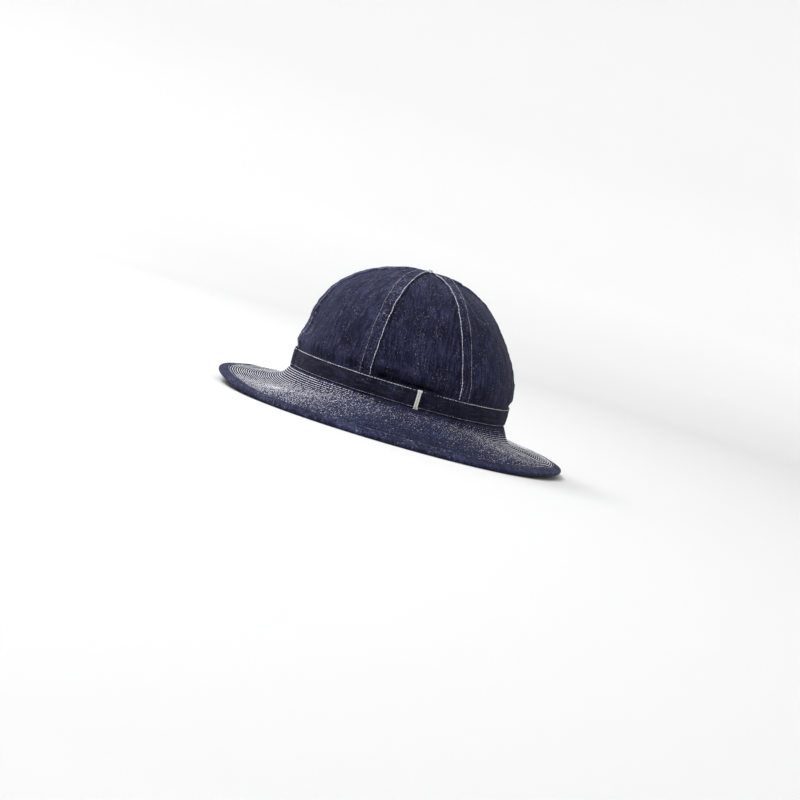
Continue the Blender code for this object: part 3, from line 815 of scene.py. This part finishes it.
brim_edge = (
    # around in degrees, reach, rise as a share of the foot's height
    (0.0, 1.006, 0.260),
    (30.0, 0.988, 0.050),
    (60.0, 0.940, 0.000),
    (90.0, 0.906, 0.000),
    (120.0, 0.940, 0.000),
    (150.0, 0.985, 0.110),
    (180.0, 1.000, 0.155),
    (210.0, 0.985, 0.140),
    (240.0, 0.940, 0.000),
    (270.0, 0.906, 0.000),
    (300.0, 0.940, 0.000),
    (330.0, 0.988, 0.310),
)
brim_fall = (
    # across, share of the whole fall at the front, side and rear
    (0.00, 0.000, 0.000, 0.000),
    (0.10, 0.470, 0.080, 0.510),
    (0.25, 0.720, 0.200, 0.680),
    (0.50, 0.820, 0.420, 0.745),
    (0.75, 0.885, 0.680, 0.825),
    (1.00, 1.000, 1.000, 1.000),
)
edge_turn = np.vstack((brim_edge[-2:], brim_edge, brim_edge[:2]))
edge_turn[:2, 0] -= 360.0
edge_turn[-2:, 0] += 360.0


def brim_skin(angle, across):
    """Middle layer of the brim: across is 0 at the band and 1 at the edge."""
    edge = smooth_curve(edge_turn, np.mod(np.degrees(angle), 360.0))
    reach, rise = edge[..., 0], edge[..., 1]
    fall = front_side_rear(angle, *np.moveaxis(smooth_curve(brim_fall, across), -1, 0))
    high = brim_top - brim_cloth / 2
    low = edge_height + rise * brim_top
    point = oval(angle, band_edge + reach * brim_reach * across)
    point[..., 2] = high + (low - high) * fall
    return point


def brim_frame(angle, across):
    """Points and upward directions on the middle layer of the brim."""
    step = 1e-4
    inner, outer = np.maximum(across - step, 0.0), np.minimum(across + step, 1.0)
    outwards = brim_skin(angle, outer) - brim_skin(angle, inner)
    around = brim_skin(angle + step, across) - brim_skin(angle - step, across)
    return brim_skin(angle, across), unit(np.cross(outwards, around))


brim_angles = np.arange(brim_columns) * 2 * pi / brim_columns
measure = np.linspace(0.0, 1.0, 101)
grid_angles, grid_across = np.meshgrid(brim_angles, measure, indexing="ij")
steps_out = np.linalg.norm(np.diff(brim_skin(grid_angles, grid_across), axis=1), axis=-1)
brim_lengths = np.concatenate((np.zeros((brim_columns, 1)), np.cumsum(steps_out, axis=1)), axis=1)
brim_whole = brim_lengths[:, -1]


def across_at(distance):
    """Across for a distance from the band along the cloth, one value for each brim angle."""
    return np.array([np.interp(d, lengths, measure) for d, lengths in zip(distance, brim_lengths)])


first_row = np.full(brim_columns, row_from_band)
last_row = brim_whole - binding_width - row_from_binding
row_pitch = (last_row - first_row) / (stitch_rows - 1)


def brim_layer(distance, half_thickness, side, sunk=0.0):
    """One side of the brim at a distance from the band: 1 is the top, -1 the underside."""
    points, upward = brim_frame(brim_angles, across_at(distance))
    free = ease(distance / still_inside)
    free = free * ease((brim_whole - binding_width - distance) / still_outside)
    wave = free * waves(points, *brim_waves)
    number = (distance - first_row) / row_pitch
    between = np.abs(np.sin(pi * number)) ** quilt_fullness
    between = between * ease((number + 1.0) / 0.5) * ease((stitch_rows - number) / 0.5)
    puff = quilt_height * between * (0.85 + waves(points, quilt_waves))
    outside = side * (half_thickness - quilt_height * quilt_inside + puff - sunk)
    return points + upward * (outside + wave)[:, None], upward


def brim_columns_of(distances, side):
    """Grid of one side of the brim and its marks, a column for each distance from the band."""
    columns, marks = [], []
    for grow in (-crown_cloth, band_edge):
        middle = oval(brim_angles, grow)
        middle[:, 2] = brim_top - brim_cloth / 2 + side * brim_cloth / 2
        columns.append(middle)
    for distance in distances:
        taper = ease((hem_start - distance) / hem_taper)
        half = hem_cloth / 2 + (brim_cloth - hem_cloth) / 2 * taper
        half = half + (1 - taper) * quilt_height * quilt_inside
        columns.append(brim_layer(distance, half, side)[0])
    start = [np.full(brim_columns, grow - band_edge) for grow in (-crown_cloth, band_edge)]
    for distance in start + list(distances):
        radius = mean_radius + distance
        marks.append(joined(radius * np.sin(brim_angles), -radius * np.cos(brim_angles),
                            brim_angles * mean_radius, (distance - first_row) / row_pitch))
    return np.stack(columns, axis=1), np.stack(marks, axis=1)


stitched_denim = denim("stitched denim", (0.0024, 0.0031, 0.0104), (0.0054, 0.0070, 0.0276),
                       (0.0250, 0.0300, 0.0860), 0.0)
edge_stop = brim_whole - binding_cloth - clearance
hem_start = brim_whole - binding_width
groove_places = (0.0, 0.2, 0.5, 0.8)
top_distances = [first_row * share for share in (0.25, 0.6)]
for number in range(stitch_rows - 1):
    top_distances += [first_row + (number + place) * row_pitch for place in groove_places]
top_distances.append(last_row)
top_distances += [last_row + (edge_stop - last_row) * share for share in (0.08, 0.16, 0.5, 1.0)]
under_distances = [first_row * 0.5]
under_distances += [first_row + number / 2 * row_pitch for number in range(2 * stitch_rows - 1)]
under_distances += [last_row + (edge_stop - last_row) * share for share in (0.15, 0.5, 1.0)]


def round_trip(marks):
    """The marks of a closed ring with its first place repeated at the end, a turn on."""
    closing = marks[:1].copy()
    closing[..., 2] += 2 * pi * mean_radius
    return np.concatenate((marks, closing), axis=0)


face, marks = brim_columns_of(top_distances, 1)
reverse, reverse_marks = brim_columns_of(under_distances, -1)
brim = loft_cloth("brim_cloth", face, reverse, round_trip(marks), (stitched_denim,), closed=True,
                  reverse_marks=round_trip(reverse_marks))
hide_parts("brim")
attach(brim, "root")

# The brim thread is painted darker towards the hat's sides: painted shade
brim_cotton = thread_material("brim thread", (0.92, 0.92, 0.94), (0.035, 0.045, 0.14),
                              0.57, 0.635, 0.185, 720.0)
dice = np.random.default_rng(51)
for side, side_name in ((1, "top"), (-1, "underside")):
    rows = []
    for number in range(stitch_rows):
        outer = ease(number / (stitch_rows - 1) * 1.6 - 0.6)
        distance = first_row + number * row_pitch
        by_band = ease(1 - number / rows_by_band)
        deep = row_proud + row_sunk * (0.6 + outer + by_band)
        at_rear = rear_depth * row_sunk * by_band * np.maximum(-np.cos(brim_angles), 0.0) ** 2
        sunk = deep * np.sin(brim_angles) ** 4 + at_rear - row_proud
        points, upward = brim_layer(distance, brim_cloth / 2, side, sunk)
        points = points + upward * dice.uniform(-row_uneven, row_uneven, (brim_columns, 1))
        start = int(dice.integers(brim_columns))
        rows.append((np.roll(points, start, axis=0), np.roll(upward * side, start, axis=0), True))
    for part, share in (("inner", rows[:stitch_rows // 2]), ("outer", rows[stitch_rows // 2:])):
        sew("brim_stitches_" + side_name + "_" + part, share, brim_stitch, brim_thread, brim_cotton,
            20 + side + len(share))


# Binding: a bias strip of dark denim folded over the edge of the brim and sewn through all the
# layers with one tonal row. It is pressed flat where the sides of the brim rest on the surface
fold_steps = 9
flat_share = 0.28  # the flat faces end at this share of the width
strip_radius = 0.155  # round which the strip's cloth is measured
cockle_radius = 0.150
fold_allowance = 0.002
bias_share = 0.707  # its cloth is turned by 45 degrees
binding_waves = (0.00012, 0.0080, 33)
binding_row_in, binding_row_up = 0.0008, 0.00008
binding_stitch, binding_thread = 0.0028, 0.00042
flat_steps = (np.linspace(1.0, flat_share, fold_steps), np.linspace(flat_share, 1.0, fold_steps))
binding_face_steps = np.concatenate((flat_steps[0], np.zeros(fold_steps), flat_steps[1]))
fold_turn = np.concatenate((np.zeros(fold_steps), np.linspace(0.0, pi, fold_steps),
                            np.full(fold_steps, pi)))


def binding_layer(inwards, over):
    """Points of the binding at a distance in from the edge and a height over the middle layer."""
    points, upward = brim_frame(brim_angles, across_at(brim_whole - inwards))
    return points + upward * np.broadcast_to(over, (brim_columns,))[:, None]


def binding_place(step, turn, cloth):
    """Place in the binding's section: how far in from the edge and how high over the middle."""
    fold = binding_half - cloth
    if step > 0.0:
        return binding_width * step, fold * cos(turn)
    return binding_half - fold * sin(turn), fold * cos(turn)


binding_denim = denim("binding denim", (0.0036, 0.0044, 0.0145), (0.0095, 0.0112, 0.0390),
                      (0.0440, 0.0500, 0.1160), 0.006)
face_columns, reverse_columns, cloth_columns = [], [], []
for step, turn in zip(binding_face_steps, fold_turn):
    for columns, cloth in ((face_columns, 0.0), (reverse_columns, binding_cloth)):
        inwards, over = binding_place(step, turn, cloth)
        points = binding_layer(np.full(brim_columns, inwards), over)
        if cloth == 0.0:
            mark = joined(brim_angles * cockle_radius, np.full(brim_columns, inwards))
            loose = sin(pi * min(inwards / binding_width, 1.0))
            points[:, 2] += waves(mark, binding_waves) * loose
        points[:, 2] = np.maximum(points[:, 2], 0.0002 if cloth else 0.0)
        columns.append(points)
    side = 1 if turn < pi / 2 else -1
    along = brim_angles * strip_radius
    over_strip = np.full(brim_columns, side * (inwards + fold_allowance))
    cloth_columns.append(joined((along + over_strip) * bias_share,
                                (over_strip - along) * bias_share, along, over_strip))
marks = round_trip(np.stack(cloth_columns, axis=1))
marks[-1, :, :2] += bias_share * strip_radius * 2 * pi * np.array((1.0, -1.0))
binding = loft_cloth("brim_binding_cloth", np.stack(face_columns, axis=1),
                     np.stack(reverse_columns, axis=1), marks, (binding_denim,), closed=True)
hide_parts("brim_binding")
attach(binding, "root")

binding_rows = []
for side in (1, -1):
    inwards = np.full(brim_columns, binding_width - binding_row_in)
    points, upward = brim_frame(brim_angles, across_at(brim_whole - inwards))
    points = points + upward * side * (binding_half + binding_row_up)
    points[:, 2] = np.maximum(points[:, 2], 0.0003)
    binding_rows.append((points, upward * side, True))
# The binding thread is painted darker towards the hat's sides: painted shade
tonal_cotton = thread_material("binding thread", (0.36, 0.37, 0.42), (0.02, 0.022, 0.055),
                               0.50, 0.64, 0.16)
sew("binding_stitches", binding_rows, binding_stitch, binding_thread, tonal_cotton, 24)


# Studio: a pale floor that turns up into a round backdrop, and large soft lamps above and in
# front of the hat
backdrop_profile = (
    # distance from the middle, height
    (0.0, 0.0),
    (1.6, 0.0),
    (2.2, 0.03),
    (2.7, 0.16),
    (3.05, 0.45),
    (3.2, 0.9),
    (3.25, 1.6),
    (3.25, 4.0),
)
backdrop_sides = 96
floor_gap = 0.0003  # the floor lies this far under the hat
studio_points = [(distance * cos(turn), distance * sin(turn), height - floor_gap)
                 for distance, height in backdrop_profile
                 for turn in np.arange(backdrop_sides) * 2 * pi / backdrop_sides]
studio_faces = []
for low in range(0, len(studio_points) - backdrop_sides, backdrop_sides):
    high = low + backdrop_sides
    for side in range(backdrop_sides):
        after = (side + 1) % backdrop_sides
        studio_faces.append((low + side, high + side, high + after, low + after))
studio_mesh = bpy.data.meshes.new("studio")
studio_mesh.from_pydata(studio_points, [], studio_faces)
studio_mesh.shade_smooth()
studio = add_object("studio", studio_mesh)
paper, tree, shader = new_material("pale paper")
place = add_node(tree, "ShaderNodeTexCoord", output="Object")
level = add_node(tree, "ShaderNodeVectorMath", {0: place, 1: (1.0, 1.0, 0.0)}, operation="MULTIPLY")
outwards = add_node(tree, "ShaderNodeVectorMath", {0: level}, output="Value", operation="LENGTH")
# Painted shade on the paper: it is darker on the floor than up the walls, to even out the lamps'
# light on them, and darker on the side behind the camera
tone = map_range(tree, outwards, 1.3, 2.6, 0.57, 0.83)
side = add_node(tree, "ShaderNodeSeparateXYZ", {0: place})
side = map_range(tree, side, 1.3, 3.0, 1.0, 0.40)
tone = add_node(tree, "ShaderNodeMath", {0: tone, 1: side}, operation="MULTIPLY")
set_inputs(tree, shader, {"Base Color": tone, "Roughness": 0.95})
studio_mesh.materials.append(paper)
studio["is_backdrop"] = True


def soft_lamp(name, place, size, power, colour):
    """Round lamp that faces the hat."""
    lamp = bpy.data.lights.new(name, "AREA")
    lamp.shape = "DISK"
    lamp.size = size
    lamp.energy = power
    lamp.color = colour
    holder = add_object(name, lamp)
    holder.location = place
    holder.rotation_mode = "QUATERNION"
    holder.rotation_quaternion = (Vector(place) - lamps_face).to_track_quat("Z", "Y")


lamps_face = Vector((0.0, 0.0, 0.05))
soft_lamp("lamp above", (-0.70, -1.50, 1.90), 1.3, 60.0, (0.99, 0.99, 1.0))
soft_lamp("lamp by the camera", (1.3, -1.0, 1.9), 1.3, 29.0, (0.99, 0.99, 1.0))
world = bpy.data.worlds.new("studio air")
bpy.context.scene.world = world
world.use_nodes = True
set_inputs(world.node_tree, world.node_tree.nodes["Background"],
           {"Color": (1.0, 1.0, 1.0, 1.0), "Strength": 1.0})
bpy.context.scene.view_settings.view_transform = "Standard"

low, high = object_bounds()
